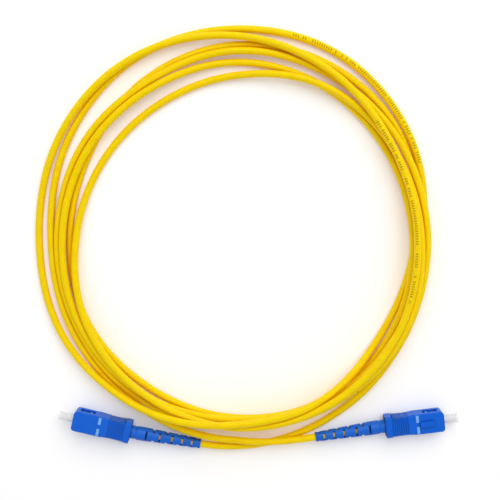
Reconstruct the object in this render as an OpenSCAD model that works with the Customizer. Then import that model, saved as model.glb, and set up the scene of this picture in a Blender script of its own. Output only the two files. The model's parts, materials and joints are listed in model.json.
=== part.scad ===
// Simplex fiber optic patch cord: one three-metre yellow cord laid in a flat
// six-turn coil, with a blue push-pull plug, boot and dust cap at each end.
// Millimetres, Z up. The origin is the middle of the cord's footprint, on the
// resting plane.

/* [Cord] */
// Outside diameter of the cord jacket
jacket_od = 3.0; // [2.8:0.1:3.0]
// Inside diameter of the cord jacket
jacket_id = 2.0; // [1.9:0.05:2.1]
// Diameter of the tight buffer round the fibre
buffer_d = 0.9; // [0.8:0.05:0.9]
// Diameter of the coated glass fibre
coated_fibre_d = 0.25; // [0.2:0.01:0.25]
// Diameter of the bare glass fibre inside the ferrule
bare_fibre_d = 0.125; // [0.1:0.005:0.14]

/* [Coil] */
// Centre of the coil in plan
coil_centre = [-5.75, 2.06];
// Radius of turn 1 every 30 degrees, starting at the front
turn_1 = [90.8, 88.0, 82.5, 80.5, 79.5, 78.5, 77.5, 74.0, 74.5, 75.0, 77.5, 81.0];
// Radius of turn 2 every 30 degrees
turn_2 = [81.5, 82.0, 81.0, 77.5, 76.0, 73.0, 67.5, 64.0, 64.0, 67.0, 72.5, 77.0];
// Radius of turn 3 every 30 degrees
turn_3 = [80.5, 80.5, 78.5, 75.5, 75.5, 79.5, 83.5, 85.5, 84.5, 83.0, 85.0, 83.0];
// Radius of turn 4 every 30 degrees
turn_4 = [78.5, 77.5, 75.0, 76.5, 81.5, 82.0, 80.0, 75.5, 70.5, 70.0, 73.0, 75.0];
// Radius of turn 5 every 30 degrees
turn_5 = [78.5, 80.5, 78.0, 75.0, 73.5, 73.0, 73.0, 71.0, 71.5, 72.5, 75.5, 78.0];
// Radius of turn 6 every 30 degrees
turn_6 = [78.5, 80.5, 80.0, 79.5, 84.5, 87.5, 86.5, 85.0, 81.0, 78.0, 80.5, 84.2];
// Radius where turn 6 ends, back at the front
turn_end = 87.2; // [86.8:0.2:87.6]
// Distance kept between the centrelines of crossing strands
strand_gap = 3.08; // [3.05:0.01:3.3]

/* [Plug placement] */
// Right plug: centre of its front face in plan
right_front = [83.75, -76.49];
// Right plug: direction it points, degrees from +X
right_yaw = 7.0; // [5:0.5:9]
// Left plug: centre of its front face in plan
left_front = [-75.05, -75.79];
// Left plug: direction it points, degrees from +X
left_yaw = 166.5; // [165:0.5:168]
// Sideways lean of each boot from its plug's axis: right, left
boot_yaw = [1.6, 2.9];
// Rise of each boot towards the cord: right, left
boot_pitch = [2.0, -2.0];

/* [Outer housing] */
// Length of the outer housing
housing_l = 25; // [24.5:0.1:25.5]
// Width across the wide faces
housing_w = 8.9; // [8.9:0.05:9.1]
// Height across the narrow faces
housing_h = 7.4; // [7.3:0.05:7.5]
// Width of the key on one wide face
key_w = 2.3; // [1.8:0.1:2.6]
// Height of the key above its face
key_h = 0.95; // [0.8:0.05:1.0]
// Spacing of the grip ribs
rib_pitch = 0.92; // [0.8:0.02:0.94]
// Number of grooves between the grip ribs
rib_n = 8; // [5:1:8]
// Width of the push-pull window in each narrow side
window_l = 6.4; // [6.2:0.1:6.6]

/* [Ferrule] */
// Outside diameter of the ceramic ferrule
ferrule_d = 2.5; // [2.45:0.01:2.5]
// Length of the ferrule
ferrule_l = 10.5; // [10.4:0.1:10.6]
// How far the ferrule stands out of the housing
ferrule_out = 0.8; // [0.6:0.1:0.9]
// Diameter of the bore for the fibre
ferrule_bore = 0.25; // [0.24:0.01:0.3]

/* [Boot] */
// Outside diameter of the plain collar of the boot
boot_d = 5.4; // [5.2:0.1:5.5]
// Outside diameter where the flexible taper starts
boot_root_d = 5.9; // [5.5:0.1:6.0]
// Outside diameter at the thin end
boot_end_d = 4.1; // [4.0:0.1:4.5]
// Distance from each flex slot in the top and bottom to the front of the taper
slot_s = [4.9, 10.7, 16.1, 20.5, 24.7];
// Distance of each side notch, half way between the slots
notch_s = [8.0, 13.8, 18.8, 22.9, 26.9];
// Width of the slots
slot_w = 0.7; // [0.5:0.1:1.1]
// Width of each side notch in the boot
notch_w = 1.1; // [0.8:0.1:1.2]

/* [Dust cap] */
// Outside diameter of the cap's sleeve
cap_d = 3.5; // [3.4:0.1:3.8]
// How far the cap reaches beyond the housing
cap_out = 6.3; // [5:0.1:7]

/* [Hidden] */

R = 0;                    // the right end
L = 1;                    // the left end
e = 0.05;                 // running clearance, per side
pivot = 27;               // where the boot leaves the plug's own axis
boot_l = 28.5;            // length of the boot behind that point
cav_w = 7.1;              // cavity of the outer housing
cav_h = 5.7;
step = 10;                // degrees between points of the coil
per = 360 / step;         // points in one turn

plug_front = [right_front, left_front];
plug_yaw = [right_yaw, left_yaw];
// The right plug rests on its plain face, the left one on its key.
plug_z = [housing_h / 2, housing_h / 2 + key_h];

// ---------------------------------------------------------------- cord path
stations = concat(turn_1, turn_2, turn_3, turn_4, turn_5, turn_6, [turn_end]);
n_st = len(stations);
function at(v, i) = v[max(0, min(len(v) - 1, i))];
// smooth curve through equally spaced values; k counts in stations
function smooth(v, k) =
    let (i = min(floor(k), len(v) - 2), t = k - i,
         a = at(v, i - 1), b = v[i], c = v[i + 1], d = at(v, i + 2))
    0.5 * (2 * b + (c - a) * t + (2 * a - 5 * b + 4 * c - d) * t * t
           + (3 * b - a - 3 * c + d) * t * t * t);
n_pts = 6 * per + 1;
coil_r = [for (i = [0:n_pts - 1]) smooth(stations, i * step / 30)];

// Order in which the turns were laid, lowest first, after each one's
// changeover angle, and the order they hold before it.
lay = [2, 4, 5, 0, 3, 1, 1];
lay_before = [0.5, 2, 4, 5, 0.2, 3, 1];
change = [30, 30, 30, 50, 90, 0, 0];
function rank(i) =
    let (j = floor(i / per), a = step * (i - per * j))
    a >= change[j] ? lay[j] : lay_before[j];
ranks = [for (i = [0:n_pts - 1]) rank(i)];
// A strand rests on the floor or rides over every strand laid before it.
lead_z = [2.7, 1.8];
// The last turn climbs over the first lead as it leaves for its plug.
lift_z = [2.0, 3.7, 5.4];
floor_z = jacket_od / 2 + 0.05;
function ride_z(z, i) =
    max(concat([i < 2 ? lead_z[i] : i >= n_pts - 3 ? lift_z[i - n_pts + 3] : floor_z],
        [for (m = [i % per:per:n_pts - 1])
            let (d = abs(coil_r[i] - coil_r[m]))
            if (ranks[m] < ranks[i] && d < strand_gap)
                z[m] + sqrt(strand_gap * strand_gap - d * d)]));
function widen(c) = [for (i = [0:n_pts - 1]) max(at(c, i - 1), c[i], at(c, i + 1))];
function average(c) = [for (i = [0:n_pts - 1])
    i == 0 ? (c[0] + c[1]) / 2 : i == n_pts - 1 ? (c[i] + c[i - 1]) / 2
           : (c[i - 1] + c[i] + c[i + 1]) / 3];
function settle(z, n) = n == 0 ? z
    : settle(average(widen([for (i = [0:n_pts - 1]) ride_z(z, i)])), n - 1);
coil_z = settle([for (i = [0:n_pts - 1]) floor_z], 12);
function coil_pt(i) = let (a = 270 + step * i)
    [coil_centre[0] + coil_r[i] * cos(a), coil_centre[1] + coil_r[i] * sin(a), coil_z[i]];

// points on a plug's own axis, x counted forward from the housing's front
function axis_pt(s, x) = [plug_front[s][0] + x * cos(plug_yaw[s]),
                          plug_front[s][1] + x * sin(plug_yaw[s]), plug_z[s]];
// direction of the boot, away from the plug
function boot_dir(s) = let (a = plug_yaw[s] + 180 + boot_yaw[s])
    [cos(boot_pitch[s]) * cos(a), cos(boot_pitch[s]) * sin(a), sin(boot_pitch[s])];
function boot_pt(s, t) = axis_pt(s, -pivot) + t * boot_dir(s);
function unit(v) = v / norm(v);
// cubic from p0 to p1, leaving along d0 and arriving along d1
function bridge(p0, d0, p1, d1, t) = let (c = norm(p1 - p0))
    (2*t*t*t - 3*t*t + 1) * p0 + (t*t*t - 2*t*t + t) * c * d0
    + (3*t*t - 2*t*t*t) * p1 + (t*t*t - t*t) * c * d1;

into_l = coil_pt(1);
out_r = coil_pt(n_pts - 1);
run = concat(
    [boot_pt(L, boot_l)],
    [for (t = [1:2]) bridge(boot_pt(L, boot_l), boot_dir(L), into_l,
                            unit(coil_pt(2) - coil_pt(0)), t / 3)],
    [for (i = [1:n_pts - 1]) coil_pt(i)],
    [for (t = [1:3]) bridge(out_r, unit(out_r - coil_pt(n_pts - 2)),
                            boot_pt(R, boot_l), -boot_dir(R), t / 4)],
    [boot_pt(R, boot_l)]);
function mirrored(v) = [for (i = [len(v) - 1:-1:0]) v[i]];
function rep(v, n) = [for (i = [1:n]) v];

// Solid or tube swept along points, with n flats. ro and ri hold the outer and
// inner corner radius at each point; ri = [] makes a solid rod.
module sweep(p, ro, ri, n) {
    m = len(p);
    function dir(i) = unit(p[min(i + 1, m - 1)] - p[max(i - 1, 0)]);
    function ring(i, r) = let (t = dir(i), s = unit(cross([0, 0, 1], t)), u = cross(t, s))
        [for (k = [0:n - 1]) p[i] + r * (cos((k + 0.5) * 360 / n) * s
                                         + sin((k + 0.5) * 360 / n) * u)];
    outer = [for (i = [0:m - 1]) each ring(i, ro[i])];
    inner = len(ri) == 0 ? [] : [for (i = [0:m - 1]) each ring(i, ri[i])];
    b = m * n;
    skin = [for (i = [0:m - 2]) for (k = [0:n - 1]) let (q = (k + 1) % n)
        [i*n + k, (i+1)*n + k, (i+1)*n + q, i*n + q]];
    lining = len(ri) == 0 ? [] : [for (i = [0:m - 2]) for (k = [0:n - 1]) let (q = (k + 1) % n)
        [b + i*n + k, b + i*n + q, b + (i+1)*n + q, b + (i+1)*n + k]];
    ends = len(ri) == 0
        ? [[for (k = [0:n - 1]) k], [for (k = [n - 1:-1:0]) (m-1)*n + k]]
        : [for (k = [0:n - 1]) let (q = (k + 1) % n)
             each [[k, q, b + q, b + k],
                   [(m-1)*n + q, (m-1)*n + k, b + (m-1)*n + k, b + (m-1)*n + q]]];
    polyhedron(points = concat(outer, inner), faces = concat(skin, lining, ends), convexity = 10);
}

// ------------------------------------------------------------ small helpers
module at_plug(s) {
    translate(axis_pt(s, 0)) rotate([0, 0, plug_yaw[s]]) children();
}
// the left plug lies key down
module keyed(s) { at_plug(s) rotate([s == L ? 180 : 0, 0, 0]) children(); }
// X runs back along the boot from its pivot
module at_boot(s) {
    translate(axis_pt(s, -pivot))
        rotate([0, -boot_pitch[s], plug_yaw[s] + 180 + boot_yaw[s]]) children();
}
// round body about X from its profile of [x, radius] points
module turned(profile) {
    rotate([90, 0, 90]) rotate_extrude($fn = 64)
        polygon([for (q = profile) [q[1], q[0]]]);
}
module tube(x0, x1, od, id) {
    turned([[x0, id/2], [x0, od/2], [x1, od/2], [x1, id/2]]);
}
module block(x0, x1, w, h) {
    translate([x0, -w/2, -h/2]) cube([x1 - x0, w, h]);
}

// -------------------------------------------------------------- the cord
module cable_jacket() {
    p = concat([boot_pt(L, 1.7)], run, [boot_pt(R, 1.7)]);
    color([0.96, 0.83, 0.04])
        sweep(p, rep(jacket_od / 2, len(p)), rep(jacket_id / 2, len(p)), 8);
}
// The yarn lies between jacket and buffer and spreads over each crimp post.
module strength_yarn() {
    function fan(s) = [axis_pt(s, -22.6), axis_pt(s, -26.8), boot_pt(s, 1.1)];
    p = concat(fan(L), run, mirrored(fan(R)));
    m = len(run);
    color([0.93, 0.86, 0.45])
        sweep(p, concat([2, 2, 0.88], rep(0.88, m), [0.88, 2, 2]),
                 concat([1.8, 1.8, 0.58], rep(0.58, m), [0.58, 1.8, 1.8]), 6);
}
module tight_buffer() {
    p = concat([axis_pt(L, -11.1), axis_pt(L, -pivot)], run,
               [axis_pt(R, -pivot), axis_pt(R, -11.1)]);
    color([0.97, 0.97, 0.93])
        sweep(p, rep(buffer_d / 2, len(p)), rep(0.2, len(p)), 5);
}
// Bare glass in the ferrules, coated glass everywhere else.
module glass_fibre() {
    function tip(s) = [axis_pt(s, ferrule_out - 0.02), axis_pt(s, -9.85),
                       axis_pt(s, -10.3), axis_pt(s, -pivot)];
    r = [bare_fibre_d / 2, bare_fibre_d / 2, coated_fibre_d / 2, coated_fibre_d / 2];
    p = concat(tip(L), run, mirrored(tip(R)));
    color([0.75, 0.88, 0.95])
        sweep(p, concat(r, rep(coated_fibre_d / 2, len(run)), mirrored(r)), [], 4);
}

// -------------------------------------------------------------- plug parts
// Outline seen on the wide face: chamfered nose, waisted grip, flared rear.
module housing_outline() {
    w = housing_w / 2;
    half = [[-housing_l, w + 0.25], [-housing_l + 3.2, w + 0.15], [-housing_l + 5.2, w - 0.25],
            [-housing_l + 8, w - 0.3], [-13.2, w - 0.05], [-12.2, w], [-1.5, w],
            [-0.9, w - 0.15], [-0.35, w - 0.55], [0, w - 1.2]];
    polygon(concat(half, [for (i = [len(half) - 1:-1:0]) [half[i][0], -half[i][1]]]));
}
// Cross-section with small chamfers at the nose and large ones at the grip.
module housing_section(c) {
    w = housing_w / 2 + 0.3;
    h = housing_h / 2;
    polygon([[-w, -h + c], [-w + c, -h], [w - c, -h], [w, -h + c],
             [w, h - c], [w - c, h], [-w + c, h], [-w, h - c]]);
}
module housing_body() {
    intersection() {
        translate([0, 0, -housing_h / 2]) linear_extrude(housing_h) housing_outline();
        union() {
            translate([-13, 0, 0]) rotate([90, 0, 90]) linear_extrude(13) housing_section(0.75);
            translate([-housing_l, 0, 0]) rotate([90, 0, 90])
                linear_extrude(housing_l - 13) housing_section(1.1);
        }
    }
}
module outer_housing(s) {
    color([0.08, 0.36, 0.82]) keyed(s) difference() {
        union() {
            housing_body();
            translate([-10.4, -key_w / 2, housing_h / 2 - 0.2]) cube([5.8, key_w, key_h + 0.2]);
        }
        block(-housing_l - 1, 1, cav_w, cav_h);
        block(-housing_l - 1, -housing_l + 3, cav_w + 0.7, cav_h + 0.5);
        block(-2.2 - window_l, -2.2, 20, 3.5);
        for (i = [0:rib_n - 1]) translate([-15.4 - i * rib_pitch, 0, 0]) difference() {
            block(-0.44, 0, 12, 12);
            block(-1, 1, 7.8, 6.8);
        }
        index_pads(0.16, 0);
    }
}
module index_pads(d, gap) {
    for (u = [-1, 1]) for (v = [-1, 1])
        translate([-12.0 + gap, v * 2.48 - 1.57 + gap, u > 0 ? housing_h / 2 - d : -housing_h / 2 - (gap > 0 ? 0 : 1)])
            cube([1.2 - 2 * gap, 3.14 - 2 * gap, d + (gap > 0 ? 0 : 1)]);
}
module index_marks(s) {
    color([0.95, 0.97, 1.0]) keyed(s) index_pads(0.14, 0.02);
}
module plug_frame(s) {
    color([0.10, 0.40, 0.85]) keyed(s) difference() {
        union() {
            difference() {
                block(-20.5, -0.2, 7.0, 5.6);
                for (y = [-1, 1]) for (z = [-1, 1])
                    translate([-22, y * 3.5, z * 2.8]) rotate([45, 0, 0]) translate([0, -0.35, -0.35]) cube([24, 0.7, 0.7]);
            }
            // shoulders that an adapter's hooks catch, seen in the windows
            for (y = [-1, 1]) scale([1, y, 1]) translate([0, 3.3, -1.4]) linear_extrude(2.8)
                polygon([[-7.4, 0], [-7.4, 0.75], [-6.6, 0.75], [-5.0, 0]]);
        }
        turned([[1, 0], [1, 2.45], [-8, 2.45], [-8, 0]]);
        turned([[0, 0], [0, 1.87], [-10, 1.87], [-10, 0]]);
        turned([[-9.3, 0], [-9.3, 2.3], [-21, 2.3], [-21, 0]]);
        block(-18.6, -16.6, 2.4, 8);
        // key slots that guide the ferrule flange
        block(-12.9, -9.3, 0.8, 5.0);
    }
}
module ferrule(s) {
    r = ferrule_d / 2;
    x1 = ferrule_out;
    x0 = ferrule_out - ferrule_l;
    b = ferrule_bore / 2;
    color([0.97, 0.97, 0.95]) at_plug(s)
        turned([[x0, 0.5], [x0, r - 0.15], [x0 + 0.15, r], [x1 - 0.5, r], [x1 - 0.05, r - 0.28],
                [x1, r - 0.4], [x1, b], [x0 + 1, b]]);
}
module ferrule_flange(s) {
    r = ferrule_d / 2 + 0.01;
    color([0.78, 0.79, 0.80]) at_plug(s) {
        turned([[-7.4, r], [-7.4, 1.65], [-7.6, 1.8], [-9.35, 1.8], [-9.35, 2.2], [-11.5, 2.2],
                [-11.5, 0.95], [-14.5, 0.95], [-14.5, 0.56], [-9.76, 0.56], [-9.76, r]]);
        for (z = [-1, 1]) translate([-11.3, -0.33, z * 2.2 - 0.12]) cube([1.9, 0.66, 0.24]);
    }
}
// Closed coil spring between the flange and the stop ring.
module spring(s) {
    turns = 6;
    k = 11;
    x0 = -11.9;
    x1 = -17.8;
    p = [for (i = [0:turns * k]) let (t = i / (turns * k), a = 360 * i / k)
         [x0 + (x1 - x0) * t, 1.6 * cos(a), 1.6 * sin(a)]];
    color([0.70, 0.72, 0.74]) at_plug(s) rotate([0, 90, 0]) rotate([0, 0, 0])
        sweep([for (q = p) [q[1], q[2], q[0]]], rep(0.25, len(p)), [], 5);
}
module stop_ring(s) {
    color([0.72, 0.73, 0.75]) at_plug(s) {
        turned([[-15.6, 2.05], [-15.6, 2.25], [-20.55, 2.25], [-20.55, 2.7], [-21.9, 2.7], [-22.1, 1.5],
                [-22.9, 1.5], [-23.0, 1.35], [-23.3, 1.35], [-23.4, 1.5], [-24.2, 1.5], [-24.3, 1.35],
                [-24.6, 1.35], [-24.7, 1.5], [-25.5, 1.5], [-25.6, 1.35], [-25.9, 1.35], [-26.0, 1.5],
                [-26.4, 1.5], [-26.4, 0.6], [-18.1, 0.6], [-18.1, 2.05]]);
        for (z = [-1, 1]) translate([-18.4, -1.0, z * 2.35 - 0.2]) cube([1.6, 2.0, 0.4]);
    }
}
module crimp_sleeve(s) {
    color([0.80, 0.78, 0.72]) at_plug(s)
        turned([[-22.3, 2.06], [-22.3, 2.3], [-22.5, 2.36], [-23.8, 2.36], [-24.0, 2.28], [-25.2, 2.28],
                [-25.4, 2.36], [-26.7, 2.36], [-26.9, 2.3], [-26.9, 2.06]]);
}
module crimp_ring(s) {
    color([0.80, 0.78, 0.72]) at_boot(s)
        turned([[1.9, 1.56], [1.9, 1.85], [2.5, 1.85], [2.6, 1.78], [3.4, 1.78], [3.5, 1.85],
                [4.1, 1.85], [4.1, 1.56]]);
}
module boot(s) {
    c = boot_d / 2;
    q = boot_root_d / 2;
    t = boot_end_d / 2;
    color([0.10, 0.38, 0.84]) difference() {
        union() {
            at_plug(s) turned([[-22.4, 0], [-22.4, c + 0.1], [-27.3, c + 0.1], [-27.3, 0]]);
            at_boot(s) turned([[-0.9, 0], [-0.9, c - 0.02], [0.5, c - 0.02], [0.9, q], [3.9, q],
                               [boot_l - 0.5, t], [boot_l, t - 0.25], [boot_l, 0]]);
        }
        at_plug(s) turned([[-20, 0], [-20, 2.45], [-27.2, 2.45], [-27.2, 0]]);
        at_boot(s) {
            turned([[-1.2, 0], [-1.2, 2.3], [1.5, 2.3], [1.7, 2.0], [4.2, 2.0], [4.3, 1.58],
                    [boot_l + 1, 1.58], [boot_l + 1, 0]]);
            for (i = [0:4]) for (u = [-1, 1]) {
                h = i == 0 ? 1.74 : 1.32 - 0.02 * i;
                n = 1.70 - 0.01 * i;
                translate([slot_s[i] - slot_w / 2, -4, u > 0 ? h : -h - 4]) cube([slot_w, 8, 4]);
                translate([notch_s[i] - notch_w / 2, u > 0 ? n : -n - 4, -4]) cube([notch_w, 4, 8]);
            }
        }
    }
}
module dust_cap(s) {
    r = cap_d / 2;
    color([0.86, 0.88, 0.90, 0.6]) at_plug(s)
        turned([[-5.6, 1.3], [-5.6, r + 0.25], [-4.9, r + 0.25], [-4.7, r], [cap_out - 0.9, r - 0.05],
                [cap_out - 0.7, r + 0.2], [cap_out - 0.2, r + 0.2], [cap_out, r], [cap_out, 0],
                [cap_out - 0.9, 0], [cap_out - 0.9, 1.3]]);
}

cable_jacket();
strength_yarn();
tight_buffer();
glass_fibre();
outer_housing(R);  // right_outer_housing
index_marks(R);  // right_index_marks
plug_frame(R);  // right_plug_frame
ferrule(R);  // right_ferrule
ferrule_flange(R);  // right_ferrule_flange
spring(R);  // right_spring
stop_ring(R);  // right_stop_ring
crimp_sleeve(R);  // right_crimp_sleeve
crimp_ring(R);  // right_crimp_ring
boot(R);  // right_boot
dust_cap(R);  // right_dust_cap
outer_housing(L);  // left_outer_housing
index_marks(L);  // left_index_marks
plug_frame(L);  // left_plug_frame
ferrule(L);  // left_ferrule
ferrule_flange(L);  // left_ferrule_flange
spring(L);  // left_spring
stop_ring(L);  // left_stop_ring
crimp_sleeve(L);  // left_crimp_sleeve
crimp_ring(L);  // left_crimp_ring
boot(L);  // left_boot
dust_cap(L);  // left_dust_cap
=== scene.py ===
import json
import math

import bpy
import bmesh
import numpy as np
from mathutils import Matrix, Vector


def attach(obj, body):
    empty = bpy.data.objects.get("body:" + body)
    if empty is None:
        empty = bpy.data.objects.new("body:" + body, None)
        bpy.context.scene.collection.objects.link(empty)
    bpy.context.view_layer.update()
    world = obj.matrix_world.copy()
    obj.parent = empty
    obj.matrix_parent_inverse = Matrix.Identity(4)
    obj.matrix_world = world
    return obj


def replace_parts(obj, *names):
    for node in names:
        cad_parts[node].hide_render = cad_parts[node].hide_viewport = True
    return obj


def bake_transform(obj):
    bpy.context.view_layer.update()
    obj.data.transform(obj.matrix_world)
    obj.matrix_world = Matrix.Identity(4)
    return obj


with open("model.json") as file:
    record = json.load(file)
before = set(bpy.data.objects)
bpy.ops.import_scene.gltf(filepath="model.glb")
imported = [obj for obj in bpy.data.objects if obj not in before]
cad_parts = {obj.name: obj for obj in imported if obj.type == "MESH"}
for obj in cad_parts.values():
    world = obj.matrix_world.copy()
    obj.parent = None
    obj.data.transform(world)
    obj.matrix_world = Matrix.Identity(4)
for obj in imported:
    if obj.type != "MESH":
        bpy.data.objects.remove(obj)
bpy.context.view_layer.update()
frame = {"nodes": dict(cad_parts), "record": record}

MM = 0.001
R, L = 0, 1
END = ["right", "left"]

# ---------------------------------------------------------------- dimensions
coil_centre = (-5.75, 2.06)
stations = [
    90.8, 88.0, 82.5, 80.5, 79.5, 78.5, 77.5, 74.0, 74.5, 75.0, 77.5, 81.0,
    81.5, 82.0, 81.0, 77.5, 76.0, 73.0, 67.5, 64.0, 64.0, 67.0, 72.5, 77.0,
    80.5, 80.5, 78.5, 75.5, 75.5, 79.5, 83.5, 85.5, 84.5, 83.0, 85.0, 83.0,
    78.5, 77.5, 75.0, 76.5, 81.5, 82.0, 80.0, 75.5, 70.5, 70.0, 73.0, 75.0,
    78.5, 80.5, 78.0, 75.0, 73.5, 73.0, 73.0, 71.0, 71.5, 72.5, 75.5, 78.0,
    78.5, 80.5, 80.0, 79.5, 84.5, 87.5, 86.5, 85.0, 81.0, 78.0, 80.5, 84.2,
    87.2,
]
GAP = 3.08
plug_front = [(83.75, -76.49), (-75.05, -75.79)]
plug_yaw = [7.0, 166.5]
plug_z = [3.7, 4.65]
boot_yaw = [1.6, 2.9]
boot_pitch = [2.0, -2.0]
PIVOT = 27.0
BOOT_L = 28.5
STEP = 10
PER = 36
N = 6 * PER + 1


# ---------------------------------------------------------------- cord path
def smooth(v, k):
    i = min(int(math.floor(k)), len(v) - 2)
    t = k - i
    at = lambda j: v[max(0, min(len(v) - 1, j))]
    a, b, c, d = at(i - 1), v[i], v[i + 1], at(i + 2)
    return 0.5 * (2 * b + (c - a) * t + (2 * a - 5 * b + 4 * c - d) * t * t
                  + (3 * b - a - 3 * c + d) * t * t * t)


coil_r = [smooth(stations, i * STEP / 30) for i in range(N)]
lay = [2, 4, 5, 0, 3, 1, 1]
lay_before = [0.5, 2, 4, 5, 0.2, 3, 1]
change = [30, 30, 30, 50, 90, 0, 0]


def rank(i):
    j = i // PER
    a = STEP * (i - PER * j)
    return lay[j] if a >= change[j] else lay_before[j]


ranks = [rank(i) for i in range(N)]


lift = {N - 3: 2.0, N - 2: 3.7, N - 1: 5.4}


def settle():
    z = [1.55] * N
    for _ in range(12):
        c = []
        for i in range(N):
            v = [2.7, 1.8][i] if i < 2 else lift.get(i, 1.55)
            for m in range(i % PER, N, PER):
                d = abs(coil_r[i] - coil_r[m])
                if ranks[m] < ranks[i] and d < GAP:
                    v = max(v, z[m] + math.sqrt(GAP * GAP - d * d))
            c.append(v)
        w = [max(c[max(0, i - 1):i + 2]) for i in range(N)]
        z = [sum(w[max(0, i - 1):i + 2]) / len(w[max(0, i - 1):i + 2]) for i in range(N)]
    return z


coil_z = settle()


def coil_at(k):
    """Point of the coil at k samples of 10 degrees from the front."""
    a = math.radians(270 + STEP * k)
    r = smooth(stations, k * STEP / 30)
    return np.array([coil_centre[0] + r * math.cos(a), coil_centre[1] + r * math.sin(a),
                     smooth(coil_z, k)])


def axis_pt(s, x):
    a = math.radians(plug_yaw[s])
    return np.array([plug_front[s][0] + x * math.cos(a), plug_front[s][1] + x * math.sin(a), plug_z[s]])


def boot_dir(s):
    a, p = math.radians(plug_yaw[s] + 180 + boot_yaw[s]), math.radians(boot_pitch[s])
    return np.array([math.cos(p) * math.cos(a), math.cos(p) * math.sin(a), math.sin(p)])


def boot_pt(s, t):
    return axis_pt(s, -PIVOT) + t * boot_dir(s)


def unit(v):
    return v / np.linalg.norm(v)


def bridge(p0, d0, p1, d1, t):
    c = np.linalg.norm(p1 - p0)
    return ((2*t**3 - 3*t*t + 1) * p0 + (t**3 - 2*t*t + t) * c * d0
            + (3*t*t - 2*t**3) * p1 + (t**3 - t*t) * c * d1)


def knee(s, t):
    """Centre line of a plug's cord: on the plug's axis before the pivot (t < -2), on
    the boot's axis after it (t > 2), and a smooth arc in between."""
    if t <= -2:
        return axis_pt(s, -PIVOT - t)
    if t >= 2:
        return boot_pt(s, t)
    u = (t + 2) / 4
    return (1-u)**2 * axis_pt(s, -PIVOT + 2) + 2*u*(1-u) * axis_pt(s, -PIVOT) + u*u * boot_pt(s, 2)


FINE = 5                                   # points for each 10 degree sample
into_l, out_r = coil_at(1), coil_at(N - 1)
d_in = unit(coil_at(2) - coil_at(0))
d_out = unit(coil_at(N - 1) - coil_at(N - 2))
run = [boot_pt(L, t) for t in np.linspace(3, BOOT_L, 10)]
run += [bridge(boot_pt(L, BOOT_L), boot_dir(L), into_l, d_in, t) for t in np.linspace(0, 1, 13)[1:-1]]
run += [coil_at(1 + q / FINE) for q in range((N - 2) * FINE + 1)]
run += [bridge(out_r, d_out, boot_pt(R, BOOT_L), -boot_dir(R), t) for t in np.linspace(0, 1, 15)[1:-1]]
run += [boot_pt(R, t) for t in np.linspace(BOOT_L, 3, 10)]


# ---------------------------------------------------------------- mesh tools
def new_object(name, verts, faces, uvs=None, smooth_shade=True):
    me = bpy.data.meshes.new(name)
    me.from_pydata([tuple(v) for v in verts], [], faces)
    if uvs is not None:
        lay_uv = me.uv_layers.new(name="UVMap")
        lay_uv.data.foreach_set("uv", np.array(uvs, np.float32).ravel())
    me.validate()
    me.update()
    for p in me.polygons:
        p.use_smooth = smooth_shade
    ob = bpy.data.objects.new(name, me)
    bpy.context.scene.collection.objects.link(ob)
    return ob


def sweep(name, pts, ro, ri, no, ni=0, phase=0.0):
    """Round rod or tube (metres) swept along pts (mm), with uv: u round, v mm along."""
    pts = np.array(pts)
    m = len(pts)
    ro = np.broadcast_to(np.array(ro, float), (m,))
    t = np.zeros_like(pts)
    t[1:-1] = pts[2:] - pts[:-2]
    t[0], t[-1] = pts[1] - pts[0], pts[-1] - pts[-2]
    t /= np.linalg.norm(t, axis=1)[:, None]
    s = np.cross(np.array([0, 0, 1.0]), t)
    s /= np.linalg.norm(s, axis=1)[:, None]
    u = np.cross(t, s)
    length = np.concatenate([[0], np.cumsum(np.linalg.norm(np.diff(pts, axis=0), axis=1))])

    def rings(r, n):
        a = (np.arange(n) / n) * 2 * math.pi + phase
        return (pts[:, None, :] + r[:, None, None] * (np.cos(a)[None, :, None] * s[:, None, :]
                + np.sin(a)[None, :, None] * u[:, None, :])).reshape(-1, 3)
    verts = [rings(ro, no)]
    faces, uvs = [], []
    for i in range(m - 1):
        for k in range(no):
            q = (k + 1) % no
            faces.append((i*no + k, (i+1)*no + k, (i+1)*no + q, i*no + q)[::-1])
            a0, a1 = k / no, (k + 1) / no
            uvs += [(a1, length[i]), (a1, length[i+1]), (a0, length[i+1]), (a0, length[i])]
    b = m * no
    if ri is None:
        faces.append(tuple(range(no)))
        uvs += [(0.5, length[0])] * no
        faces.append(tuple((m-1)*no + k for k in range(no))[::-1])
        uvs += [(0.5, length[-1])] * no
        # the ring runs counterclockwise about t, so turn the caps outwards
        faces[-2] = faces[-2][::-1]
        faces[-1] = faces[-1][::-1]
    else:
        ri = np.broadcast_to(np.array(ri, float), (m,))
        ni = no
        verts.append(rings(ri, ni))
        for i in range(m - 1):
            for k in range(ni):
                q = (k + 1) % ni
                faces.append((b + i*ni + k, b + (i+1)*ni + k, b + (i+1)*ni + q, b + i*ni + q))
                uvs += [(0.5, length[i])] * 4
        for k in range(no):
            q = (k + 1) % no
            faces.append((k, b + k, b + q, q)[::-1])
            uvs += [(0.5, length[0])] * 4
            o = (m - 1) * no
            faces.append((o + k, b + o + k, b + o + q, o + q))
            uvs += [(0.5, length[-1])] * 4
    return new_object(name, np.concatenate(verts) * MM, faces, uvs)


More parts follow.
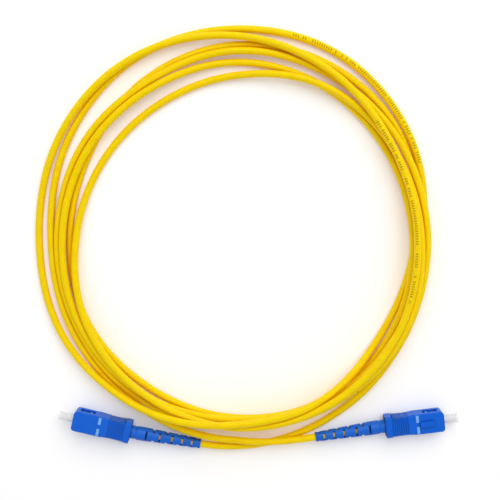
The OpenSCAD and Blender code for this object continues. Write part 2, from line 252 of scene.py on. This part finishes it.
def lathe(name, prof, n=72, link=True):
    """Closed solid of revolution about X from a closed profile of (x, r), in mm.
    Points with r 0 share one vertex."""
    verts, rows = [], []
    for x, r in prof:
        if r < 1e-9:
            rows.append([len(verts)] * n)
            verts.append((x, 0, 0))
        else:
            rows.append(list(range(len(verts), len(verts) + n)))
            verts += [(x, r * math.cos(2*math.pi*k/n), r * math.sin(2*math.pi*k/n)) for k in range(n)]
    faces = []
    m = len(prof)
    for i in range(m):
        a, b = rows[i], rows[(i + 1) % m]
        if prof[i][1] < 1e-9 and prof[(i+1) % m][1] < 1e-9:
            continue
        for k in range(n):
            q = (k + 1) % n
            f = [a[k], a[q], b[q], b[k]]
            g = [v for j, v in enumerate(f) if v not in f[:j]]
            if len(g) > 2:
                faces.append(tuple(g))
    ob = new_object(name, verts, faces)
    fix_normals(ob)
    return ob


def fix_normals(ob):
    bm = bmesh.new()
    bm.from_mesh(ob.data)
    bmesh.ops.remove_doubles(bm, verts=bm.verts, dist=1e-7)
    bmesh.ops.recalc_face_normals(bm, faces=bm.faces)
    bm.to_mesh(ob.data)
    bm.free()


def rounded(prof, radii, seg=4):
    """Rounds the corners of a closed (x, r) profile; radii is one number or one a corner."""
    n = len(prof)
    out = []
    for i in range(n):
        rad = radii[i] if isinstance(radii, (list, tuple)) else radii
        p = np.array(prof[i], float)
        a, b = np.array(prof[i-1], float), np.array(prof[(i+1) % n], float)
        la, lb = np.linalg.norm(a - p), np.linalg.norm(b - p)
        if rad <= 0 or p[1] < 1e-9 or la < 1e-9 or lb < 1e-9:
            out.append(tuple(p))
            continue
        d = min(rad, la * 0.45, lb * 0.45)
        p0, p1 = p + (a - p) / la * d, p + (b - p) / lb * d
        for k in range(seg + 1):
            t = k / seg
            q = (1-t)**2 * p0 + 2*t*(1-t) * p + t*t * p1
            out.append((float(q[0]), float(max(q[1], 0))))
    return out


def plug_matrix(s, flip=True):
    m = Matrix.Translation(Vector(axis_pt(s, 0)) * MM) @ Matrix.Rotation(math.radians(plug_yaw[s]), 4, "Z")
    if flip and s == L:
        m = m @ Matrix.Rotation(math.pi, 4, "X")
    return m @ Matrix.Scale(MM, 4)


def boot_matrix(s):
    return (Matrix.Translation(Vector(axis_pt(s, -PIVOT)) * MM)
            @ Matrix.Rotation(math.radians(plug_yaw[s] + 180 + boot_yaw[s]), 4, "Z")
            @ Matrix.Rotation(math.radians(-boot_pitch[s]), 4, "Y") @ Matrix.Scale(MM, 4))


def put(ob, matrix):
    ob.data.transform(matrix)
    ob.data.update()
    return ob


def baked(ob):
    """Replaces ob's mesh with its evaluated mesh and drops the modifiers."""
    dg = bpy.context.evaluated_depsgraph_get()
    me = bpy.data.meshes.new_from_object(ob.evaluated_get(dg), preserve_all_data_layers=True, depsgraph=dg)
    old = ob.data
    ob.modifiers.clear()
    ob.data = me
    bpy.data.meshes.remove(old)
    for p in me.polygons:
        p.use_smooth = True
    return ob


def box_mesh(bm, x0, x1, y0, y1, z0, z1):
    m = Matrix.Translation(((x0+x1)/2, (y0+y1)/2, (z0+z1)/2)) @ Matrix.Diagonal((x1-x0, y1-y0, z1-z0, 1))
    bmesh.ops.create_cube(bm, size=1.0, matrix=m)


# ---------------------------------------------------------------- materials
def mat_nodes(name):
    m = bpy.data.materials.new(name)
    m.use_nodes = True
    nt = m.node_tree
    nt.nodes.clear()
    out = nt.nodes.new("ShaderNodeOutputMaterial")
    bsdf = nt.nodes.new("ShaderNodeBsdfPrincipled")
    nt.links.new(bsdf.outputs[0], out.inputs[0])
    return m, nt, bsdf, out


def node(nt, kind, **kw):
    n = nt.nodes.new(kind)
    for k, v in kw.items():
        if k.startswith("i_"):
            n.inputs[k[2:].replace("_", " ")].default_value = v
        else:
            setattr(n, k, v)
    return n


def ramp(nt, stops, src):
    r = nt.nodes.new("ShaderNodeValToRGB")
    e = r.color_ramp.elements
    while len(e) > 1:
        e.remove(e[-1])
    e[0].position, e[0].color = stops[0][0], (*stops[0][1], 1)
    for p, c in stops[1:]:
        x = e.new(p)
        x.color = (*c, 1)
    nt.links.new(src, r.inputs[0])
    return r


def noise(nt, scale, detail=3.0, rough=0.55, vec=None):
    n = node(nt, "ShaderNodeTexNoise")
    n.inputs["Scale"].default_value = scale
    n.inputs["Detail"].default_value = detail
    n.inputs["Roughness"].default_value = rough
    if vec is None:
        tc = nt.nodes.new("ShaderNodeTexCoord")
        vec = tc.outputs["Object"]
    nt.links.new(vec, n.inputs["Vector"])
    return n


def math_node(nt, op, a, b=None):
    n = nt.nodes.new("ShaderNodeMath")
    n.operation = op
    for i, v in enumerate((a, b)):
        if v is None:
            continue
        if isinstance(v, (int, float)):
            n.inputs[i].default_value = v
        else:
            nt.links.new(v, n.inputs[i])
    return n.outputs[0]


def bump(nt, bsdf, height, strength, dist):
    b = nt.nodes.new("ShaderNodeBump")
    b.inputs["Strength"].default_value = strength
    b.inputs["Distance"].default_value = dist
    nt.links.new(height, b.inputs["Height"])
    nt.links.new(b.outputs[0], bsdf.inputs["Normal"])
    return b


def scaled(c, k):
    return tuple(min(1.0, v * k) for v in c)


def painted_crevice_shade(nt, col, dark, dist, lo, hi):
    """Paints shade into a colour where the surface is closed in, as in slots and between strands: ambient occlusion
    mixes it toward a darker shade colour.
    """
    ao = nt.nodes.new("ShaderNodeAmbientOcclusion")
    ao.samples = 8
    ao.inputs["Distance"].default_value = dist * MM
    mr = node(nt, "ShaderNodeMapRange")
    mr.inputs["From Min"].default_value = lo
    mr.inputs["From Max"].default_value = hi
    nt.links.new(ao.outputs["AO"], mr.inputs["Value"])
    mix = nt.nodes.new("ShaderNodeMix")
    mix.data_type = "RGBA"
    nt.links.new(mr.outputs[0], mix.inputs[0])
    mix.inputs[6].default_value = (*dark, 1)
    nt.links.new(col, mix.inputs[7])
    return mix.outputs[2]


def plastic(name, col, rough, grain=2200.0, grain_h=0.00002, var=0.12, sss=0.0, coat=0.0, mottling=180.0, spec=0.5,
            painted_shade=None):
    m, nt, b, _ = mat_nodes(name)
    big = noise(nt, mottling, 4, 0.6)
    r = ramp(nt, [(0.3, scaled(col, 1 - var)), (0.7, scaled(col, 1 + var))], big.outputs["Fac"])
    # painted shade: ambient occlusion darkens the colour in slots, grooves and ribs
    shade = painted_crevice_shade(nt, r.outputs[0], scaled(col, painted_shade[0]), *painted_shade[1:]) if painted_shade else r.outputs[0]
    nt.links.new(shade, b.inputs["Base Color"])
    fine = noise(nt, grain, 2, 0.5)
    rr = node(nt, "ShaderNodeMapRange")
    rr.inputs["To Min"].default_value = rough - 0.06
    rr.inputs["To Max"].default_value = rough + 0.08
    nt.links.new(fine.outputs["Fac"], rr.inputs["Value"])
    nt.links.new(rr.outputs[0], b.inputs["Roughness"])
    b.inputs["IOR"].default_value = 1.5
    b.inputs["Specular IOR Level"].default_value = spec
    b.inputs["Coat Weight"].default_value = coat
    b.inputs["Coat Roughness"].default_value = 0.25
    if sss:
        b.inputs["Subsurface Weight"].default_value = sss
        b.inputs["Subsurface Radius"].default_value = (1.0, 0.5, 0.2)
        b.inputs["Subsurface Scale"].default_value = 0.0008
    bump(nt, b, fine.outputs["Fac"], 0.35, grain_h)
    return m


def metal(name, col, rough, brushed=1400.0):
    m, nt, b, _ = mat_nodes(name)
    tc = nt.nodes.new("ShaderNodeTexCoord")
    fine = noise(nt, brushed, 3, 0.6, tc.outputs["Object"])
    r = ramp(nt, [(0.3, scaled(col, 0.85)), (0.7, scaled(col, 1.08))], fine.outputs["Fac"])
    nt.links.new(r.outputs[0], b.inputs["Base Color"])
    b.inputs["Metallic"].default_value = 1.0
    rr = node(nt, "ShaderNodeMapRange")
    rr.inputs["To Min"].default_value = rough - 0.08
    rr.inputs["To Max"].default_value = rough + 0.12
    nt.links.new(fine.outputs["Fac"], rr.inputs["Value"])
    nt.links.new(rr.outputs[0], b.inputs["Roughness"])
    bump(nt, b, fine.outputs["Fac"], 0.3, 0.00001)
    return m


def jacket_material():
    """Yellow extruded jacket: fine lengthwise drag lines, soft mottling, two
    stretches of small plain ink ticks along the cord, painted orange shade where
    strands lie close together, and a faint painted orange glow in its shade."""
    m, nt, b, _ = mat_nodes("jacket_yellow")
    uv = nt.nodes.new("ShaderNodeUVMap")
    uv.uv_map = "UVMap"
    sep = nt.nodes.new("ShaderNodeSeparateXYZ")
    nt.links.new(uv.outputs[0], sep.inputs[0])
    u, v = sep.outputs[0], sep.outputs[1]
    # lengthwise drag lines: noise stretched along the cord
    cmb = nt.nodes.new("ShaderNodeCombineXYZ")
    nt.links.new(math_node(nt, "MULTIPLY", u, 60.0), cmb.inputs[0])
    nt.links.new(math_node(nt, "MULTIPLY", v, 0.18), cmb.inputs[1])
    drag = noise(nt, 1.0, 3, 0.6, cmb.outputs[0])
    mott = noise(nt, 260.0, 4, 0.6)
    col = ramp(nt, [(0.25, (0.840, 0.575, 0.0006)), (0.5, (0.870, 0.615, 0.0008)), (0.8, (0.890, 0.650, 0.0010))],
               mott.outputs["Fac"])
    # ink ticks
    cell = math_node(nt, "FLOOR", math_node(nt, "MULTIPLY", v, 1 / 1.05))
    wn = nt.nodes.new("ShaderNodeTexWhiteNoise")
    wn.noise_dimensions = "1D"
    nt.links.new(cell, wn.inputs["W"])
    on = math_node(nt, "GREATER_THAN", wn.outputs["Value"], 0.24)
    frac = math_node(nt, "FRACT", math_node(nt, "MULTIPLY", v, 1 / 1.05))
    bar = math_node(nt, "LESS_THAN", math_node(nt, "ABSOLUTE", math_node(nt, "SUBTRACT", frac, 0.5)), 0.27)
    ink = None
    for v0, v1, uc, hw in INK:
        inside = math_node(nt, "MULTIPLY", math_node(nt, "GREATER_THAN", v, v0), math_node(nt, "LESS_THAN", v, v1))
        band = math_node(nt, "LESS_THAN", math_node(nt, "ABSOLUTE", math_node(nt, "SUBTRACT", u, uc)), hw)
        one = math_node(nt, "MULTIPLY", inside, band)
        ink = one if ink is None else math_node(nt, "MAXIMUM", ink, one)
    worn = noise(nt, 2600.0, 2, 0.6)
    ink = math_node(nt, "MULTIPLY", math_node(nt, "MULTIPLY", ink, math_node(nt, "MULTIPLY", on, bar)),
                    math_node(nt, "GREATER_THAN", worn.outputs["Fac"], 0.36))
    mix = nt.nodes.new("ShaderNodeMix")
    mix.data_type = "RGBA"
    nt.links.new(math_node(nt, "MULTIPLY", ink, 0.62), mix.inputs[0])
    # painted shade: the yellow turns orange where strands lie close together
    painted_strand_shade = painted_crevice_shade(nt, col.outputs[0], (0.68, 0.31, 0.0), 3.5, 0.12, 0.72)
    nt.links.new(painted_strand_shade, mix.inputs[6])
    mix.inputs[7].default_value = (0.13, 0.085, 0.015, 1)
    nt.links.new(mix.outputs[2], b.inputs["Base Color"])
    rr = node(nt, "ShaderNodeMapRange")
    rr.inputs["To Min"].default_value = 0.33
    rr.inputs["To Max"].default_value = 0.5
    nt.links.new(drag.outputs["Fac"], rr.inputs["Value"])
    nt.links.new(rr.outputs[0], b.inputs["Roughness"])
    b.inputs["IOR"].default_value = 1.5
    b.inputs["Specular IOR Level"].default_value = 0.20
    b.inputs["Specular Tint"].default_value = (1.0, 0.82, 0.35, 1)
    # painted light: a faint orange glow lifts the jacket's shaded sides toward orange; the jacket is no lamp
    b.inputs["Emission Color"].default_value = (1.0, 0.40, 0.0, 1)
    b.inputs["Emission Strength"].default_value = 0.07
    b.inputs["Subsurface Weight"].default_value = 0.6
    b.inputs["Subsurface Radius"].default_value = (1.0, 0.5, 0.05)
    b.inputs["Subsurface Scale"].default_value = 0.0015
    bump(nt, b, drag.outputs["Fac"], 0.25, 0.00003)
    return m


def cap_material():
    """Milky translucent plastic: mostly white scatter, partly see-through."""
    m, nt, b, out = mat_nodes("cap_translucent")
    cl = noise(nt, 500.0, 3, 0.6)
    r = ramp(nt, [(0.3, (0.92, 0.90, 0.91)), (0.7, (0.97, 0.955, 0.96))], cl.outputs["Fac"])
    nt.links.new(r.outputs[0], b.inputs["Base Color"])
    b.inputs["Roughness"].default_value = 0.35
    b.inputs["IOR"].default_value = 1.4
    b.inputs["Specular IOR Level"].default_value = 0.4
    b.inputs["Subsurface Weight"].default_value = 0.5
    b.inputs["Subsurface Radius"].default_value = (1.0, 1.0, 1.0)
    b.inputs["Subsurface Scale"].default_value = 0.002
    b.inputs["Alpha"].default_value = 0.6
    bump(nt, b, cl.outputs["Fac"], 0.15, 0.00003)
    return m


def glass_material():
    m, nt, b, _ = mat_nodes("fibre_glass")
    cl = noise(nt, 900.0, 2, 0.5)
    r = ramp(nt, [(0.3, (0.70, 0.84, 0.92)), (0.7, (0.84, 0.93, 0.98))], cl.outputs["Fac"])
    nt.links.new(r.outputs[0], b.inputs["Base Color"])
    b.inputs["Roughness"].default_value = 0.05
    b.inputs["Transmission Weight"].default_value = 0.6
    return m


def yarn_material():
    m, nt, b, _ = mat_nodes("aramid_yarn")
    tc = nt.nodes.new("ShaderNodeUVMap")
    tc.uv_map = "UVMap"
    sep = nt.nodes.new("ShaderNodeSeparateXYZ")
    nt.links.new(tc.outputs[0], sep.inputs[0])
    cmb = nt.nodes.new("ShaderNodeCombineXYZ")
    nt.links.new(math_node(nt, "MULTIPLY", sep.outputs[0], 90.0), cmb.inputs[0])
    nt.links.new(math_node(nt, "MULTIPLY", sep.outputs[1], 0.4), cmb.inputs[1])
    fib = noise(nt, 1.0, 4, 0.7, cmb.outputs[0])
    r = ramp(nt, [(0.25, (0.55, 0.42, 0.12)), (0.75, (0.86, 0.74, 0.34))], fib.outputs["Fac"])
    nt.links.new(r.outputs[0], b.inputs["Base Color"])
    b.inputs["Roughness"].default_value = 0.55
    b.inputs["Sheen Weight"].default_value = 0.4
    bump(nt, b, fib.outputs["Fac"], 0.6, 0.00008)
    return m


# length along the jacket (mm) of the printed stretches, set from the path below
def jacket_length(pts, k):
    p = np.array(pts)
    d = np.concatenate([[0], np.cumsum(np.linalg.norm(np.diff(p, axis=0), axis=1))])
    return float(d[k])


jacket_pts = [boot_pt(L, 1.7)] + run
LEAD = 1 + 10 + 11                          # points before the coil's sample 1


def v_at(turn, deg):
    k = (turn - 1) * PER + ((deg - 270) % 360) / STEP
    return jacket_length(jacket_pts, LEAD + int(round((k - 1) * FINE)))


INK = [(v_at(6, 22), v_at(6, 74), 0.27, 0.062), (v_at(3, 340), v_at(3, 40), 0.19, 0.062)]

MATS = {
    "jacket": jacket_material(),
    "yarn": yarn_material(),
    "buffer": plastic("buffer_white", (0.86, 0.86, 0.80), 0.35),
    "glass": glass_material(),
    # housing, frame and boot: painted shade darkens their slots, grooves and ribs
    "housing_blue": plastic("housing_blue", (0.001, 0.110, 0.63), 0.34, var=0.07, spec=0.2, painted_shade=(0.62, 1.0, 0.35, 0.9)),
    "frame_blue": plastic("frame_blue", (0.004, 0.125, 0.64), 0.12, var=0.07, spec=0.6, coat=0.5, painted_shade=(0.3, 1.5, 0.2, 0.8)),
    "boot_blue": plastic("boot_blue", (0.003, 0.116, 0.60), 0.42, var=0.09, spec=0.25, painted_shade=(0.16, 1.6, 0.35, 0.92)),
    "mark_white": plastic("mark_white", (0.19, 0.40, 0.76), 0.55, var=0.08, mottling=900.0, spec=0.3),
    "ceramic": plastic("ceramic_white", (0.90, 0.90, 0.87), 0.18, grain=4000.0, grain_h=0.000004, var=0.03, coat=0.3),
    "nickel": metal("nickel", (0.66, 0.65, 0.62), 0.28),
    "spring_steel": metal("spring_steel", (0.60, 0.61, 0.63), 0.25),
    "crimp_metal": metal("crimp_metal", (0.70, 0.69, 0.65), 0.38),
    "cap_clear": cap_material(),
}


def dress(ob, slot):
    ob.data.materials.clear()
    ob.data.materials.append(MATS[slot])
    return ob


# ---------------------------------------------------------------- the cord
cord = sweep("cord_jacket", jacket_pts + [boot_pt(R, 1.7)], 1.5, 1.0, 28)
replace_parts(dress(cord, "jacket"), "cable_jacket")
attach(cord, "cord")

fan_l = [axis_pt(L, -22.6), axis_pt(L, -26.2), axis_pt(L, -26.8), boot_pt(L, 1.1)]
fan_r = [boot_pt(R, 1.1), axis_pt(R, -26.8), axis_pt(R, -26.2), axis_pt(R, -22.6)]
m = len(run)
yarn = sweep("aramid_yarn", fan_l + run + fan_r, [1.9, 1.9, 1.8] + [0.9] * (m + 2) + [1.8, 1.9, 1.9],
             [1.65, 1.65, 1.58] + [0.56] * (m + 2) + [1.58, 1.65, 1.65], 18)
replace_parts(dress(yarn, "yarn"), "strength_yarn")
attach(yarn, "cord")

plug_run = lambda s: [axis_pt(s, -11.1), axis_pt(s, -18.0)] + [knee(s, t) for t in (-3, -2, -1, 0, 1, 2)]
buf = sweep("tight_buffer_tube", plug_run(L) + run + plug_run(R)[::-1], 0.45, 0.2, 14)
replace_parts(dress(buf, "buffer"), "tight_buffer")
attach(buf, "cord")

into = lambda s: [axis_pt(s, -18.0)] + [knee(s, t) for t in (-3, -2, -1, 0, 1, 2)]
fibre = sweep("fibre_strand", into(L) + run + into(R)[::-1], 0.125, None, 10)
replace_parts(dress(fibre, "glass"), "glass_fibre")
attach(fibre, "cord")
# the last 19 mm at each end runs straight along the plug's axis, through the ferrule and on back behind it
for s in (R, L):
    xs = [0.78, -9.85, -10.3] + [-11 - 0.5 * i for i in range(14)] + [-17.98]
    end = sweep(END[s] + "_fibre_end", [axis_pt(s, x) for x in xs], [0.0625, 0.0625] + [0.125] * 16, None, 10)
    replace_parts(dress(end, "glass"), "glass_fibre")
    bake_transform(end)


# ---------------------------------------------------------------- plugs
SLOT_S = [4.9, 10.7, 16.1, 20.5, 24.7]
NOTCH_S = [8.0, 13.8, 18.8, 22.9, 26.9]


def boot_base():
    """Strain relief in its own straight frame (mm): X runs from the pivot to the cord."""
    outer = [(-4.6, 2.80), (-0.3, 2.80), (0.0, 2.68), (0.5, 2.68), (0.9, 2.95), (3.9, 2.95), (BOOT_L, 2.05)]
    inner = [(BOOT_L, 1.58), (4.3, 1.58), (4.2, 2.0), (1.7, 2.0), (1.5, 2.35), (-4.6, 2.35)]
    ob = lathe("boot_tmp", rounded(outer + inner, [0.15, 0.05, 0.05, 0.05, 0.15, 0.3, 0.35, 0.12, 0, 0, 0, 0, 0, 0.12]), n=96)
    bm = bmesh.new()
    w = 0.37
    for i in range(5):
        h = 1.74 if i == 0 else 1.32 - 0.02 * i
        for sgn in (1, -1):
            z0, z1 = (h, 4) if sgn > 0 else (-4, -h)
            box_mesh(bm, SLOT_S[i] - w, SLOT_S[i] + w, -4, 4, z0, z1)
            n, v = 1.70 - 0.01 * i, 0.55
            y0, y1 = (n, 4) if sgn > 0 else (-4, -n)
            box_mesh(bm, NOTCH_S[i] - v, NOTCH_S[i] + v, y0, y1, -4, 4)
    me = bpy.data.meshes.new("cutter")
    bm.to_mesh(me)
    bm.free()
    cut = bpy.data.objects.new("cutter", me)
    bpy.context.scene.collection.objects.link(cut)
    md = ob.modifiers.new("slots", "BOOLEAN")
    md.operation, md.object, md.solver = "DIFFERENCE", cut, "EXACT"
    baked(ob)
    md = ob.modifiers.new("skin", "REMESH")
    md.mode, md.voxel_size, md.use_smooth_shade = "VOXEL", 0.12, True
    baked(ob)
    md = ob.modifiers.new("soft", "SMOOTH")
    md.factor, md.iterations = 0.5, 4
    baked(ob)
    bpy.data.objects.remove(cut)
    return ob


def bend_boot(ob, s):
    """Carries a straight boot mesh onto the plug's kneed centre line."""
    me = ob.data
    co = np.zeros(len(me.vertices) * 3)
    me.vertices.foreach_get("co", co)
    co = co.reshape(-1, 3)
    x = co[:, 0]
    grid = np.linspace(-5, BOOT_L + 1, 240)
    c = np.array([knee(s, g) for g in grid])
    d = np.gradient(c, axis=0)
    d /= np.linalg.norm(d, axis=1)[:, None]
    side = np.cross(np.array([0, 0, 1.0]), d)
    side /= np.linalg.norm(side, axis=1)[:, None]
    up = np.cross(d, side)
    out = np.zeros_like(co)
    for k in range(3):
        out[:, k] = (np.interp(x, grid, c[:, k]) + co[:, 1] * np.interp(x, grid, side[:, k])
                     + co[:, 2] * np.interp(x, grid, up[:, k]))
    me.vertices.foreach_set("co", (out * MM).ravel())
    me.update()


def coil_spring(name, x0=-11.9, x1=-17.8, turns=6, rc=1.6, wire=0.25, per=26, n=12):
    """Compression spring in the plug's frame (mm), its pitch varied a little along its length."""
    a = np.linspace(0, turns * 2 * math.pi, turns * per + 1)
    f = a / a[-1]
    x = x0 + (x1 - x0) * (f - 0.035 * np.sin(4 * math.pi * f) * (1 - 2 * np.abs(f - 0.5)))
    c = np.stack([x, rc * np.cos(a), rc * np.sin(a)], 1)
    rad = np.stack([np.zeros_like(a), np.cos(a), np.sin(a)], 1)
    t = np.gradient(c, axis=0)
    t /= np.linalg.norm(t, axis=1)[:, None]
    nrm = np.cross(t, rad)
    g = np.arange(n) / n * 2 * math.pi
    v = c[:, None] + wire * (np.cos(g)[None, :, None] * rad[:, None] + np.sin(g)[None, :, None] * nrm[:, None])
    m = len(a)
    faces = [(i * n + k, i * n + (k + 1) % n, (i + 1) * n + (k + 1) % n, (i + 1) * n + k)
             for i in range(m - 1) for k in range(n)]
    faces += [tuple(range(n))[::-1], tuple((m - 1) * n + k for k in range(n))]
    ob = new_object(name, v.reshape(-1, 3), faces)
    fix_normals(ob)
    return ob


base = boot_base()
for s in (R, L):
    e = END[s]
    b = base if s == L else base.copy()
    if s == R:
        b.data = base.data.copy()
        bpy.context.scene.collection.objects.link(b)
    b.name = e + "_boot_skin"
    b.data.name = b.name
    bend_boot(b, s)
    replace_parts(dress(b, "boot_blue"), e + "_boot")
    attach(b, "cord")

    rc = 1.75
    cap = lathe(e + "_cap_shell", rounded(
        [(-5.6, 1.3), (-5.6, rc + 0.25), (-4.9, rc + 0.25), (-4.7, rc), (5.4, rc - 0.05), (5.6, rc + 0.2),
         (6.1, rc + 0.2), (6.3, rc), (6.3, 0), (5.4, 0), (5.4, 1.3)],
        [0.1, 0.15, 0.15, 0.05, 0.05, 0.15, 0.15, 0.25, 0, 0, 0.2]), n=72)
    put(cap, plug_matrix(s))
    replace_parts(dress(cap, "cap_clear"), e + "_dust_cap")
    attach(cap, e + "_cap")

    fer = lathe(e + "_ferrule_rod", rounded(
        [(-9.7, 0.5), (-9.7, 1.1), (-9.55, 1.25), (0.3, 1.25), (0.75, 0.97), (0.8, 0.85), (0.8, 0.125), (-8.7, 0.125)],
        [0, 0.05, 0.1, 0.2, 0.05, 0.03, 0, 0]), n=72)
    put(fer, plug_matrix(s))
    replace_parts(dress(fer, "ceramic"), e + "_ferrule")
    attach(fer, e + "_ferrule_set")

    coil = put(coil_spring(e + "_spring_coil"), plug_matrix(s))
    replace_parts(dress(coil, "spring_steel"), e + "_spring")
    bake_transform(coil)

# CAD nodes that stay: fine edge rounding and a material each
slot_of = {q["node"]: q["material_slot"] for q in frame["record"]["subparts"]}
for name, ob in frame["nodes"].items():
    if ob.hide_render:
        continue
    ob.data.materials.clear()
    ob.data.materials.append(MATS[slot_of[name]])
    width = {"outer_housing": 0.14, "plug_frame": 0.08, "index_marks": 0.03}.get(name.split("_", 1)[1], 0.04) * MM
    if "spring" in name:
        for p in ob.data.polygons:
            p.use_smooth = True
        continue
    md = ob.modifiers.new("merge", "DECIMATE")
    md.decimate_type, md.angle_limit = "DISSOLVE", math.radians(0.6)
    md = ob.modifiers.new("edge", "BEVEL")
    md.width, md.segments, md.limit_method = width, 2, "ANGLE"
    md.angle_limit, md.harden_normals = math.radians(32), True
    md.use_clamp_overlap = True

# ---------------------------------------------------------------- stage
def floor():
    me = bpy.data.meshes.new("floor")
    g = 3.0
    me.from_pydata([(-g, -g, 0), (g, -g, 0), (g, g, 0), (-g, g, 0)], [], [(0, 1, 2, 3)])
    ob = bpy.data.objects.new("floor", me)
    bpy.context.scene.collection.objects.link(ob)
    mt, nt, b, _ = mat_nodes("floor_white")
    n = noise(nt, 3.0, 2, 0.5)
    r = ramp(nt, [(0.3, (0.93, 0.93, 0.935)), (0.7, (0.95, 0.95, 0.95))], n.outputs["Fac"])
    nt.links.new(r.outputs[0], b.inputs["Base Color"])
    b.inputs["Roughness"].default_value = 0.8
    b.inputs["Specular IOR Level"].default_value = 0.2
    b.inputs["Emission Color"].default_value = (1.0, 0.985, 1.0, 1)
    b.inputs["Emission Strength"].default_value = 0.08
    me.materials.append(mt)
    return ob


floor()


def area(name, loc, target, size, power, size_y=None):
    d = bpy.data.lights.new(name, "AREA")
    d.energy = power
    d.size = size
    if size_y:
        d.shape, d.size_y = "RECTANGLE", size_y
    ob = bpy.data.objects.new(name, d)
    bpy.context.scene.collection.objects.link(ob)
    ob.location = loc
    ob.rotation_euler = (Vector(target) - Vector(loc)).to_track_quat("-Z", "Y").to_euler()
    return ob


area("key", (0.24, 0.70, 0.90), (0, 0, 0), 1.1, 9.3)
area("fill", (-0.5, -0.4, 0.9), (0, 0, 0), 0.9, 0.9)
world = bpy.data.worlds.new("studio")
bpy.context.scene.world = world
world.use_nodes = True
bg = world.node_tree.nodes["Background"]
bg.inputs[0].default_value = (1, 1, 1, 1)
bg.inputs[1].default_value = 0.57
view_settings = bpy.context.scene.view_settings
view_settings.view_transform = "Standard"
view_settings.look = "None"
view_settings.exposure = 0.0

cam_d = bpy.data.cameras.new("camera")
cam_d.sensor_width = 36
cam_d.lens = 64.9
cam_d.clip_start = 0.01
cam_d.clip_end = 20
cam = bpy.data.objects.new("camera", cam_d)
bpy.context.scene.collection.objects.link(cam)
cam.location = ((6.384 + coil_centre[0]) * MM, (36.607 + coil_centre[1]) * MM, 0.382)
cam.rotation_euler = (math.radians(-6.3), 0, 0)
bpy.context.scene.camera = cam
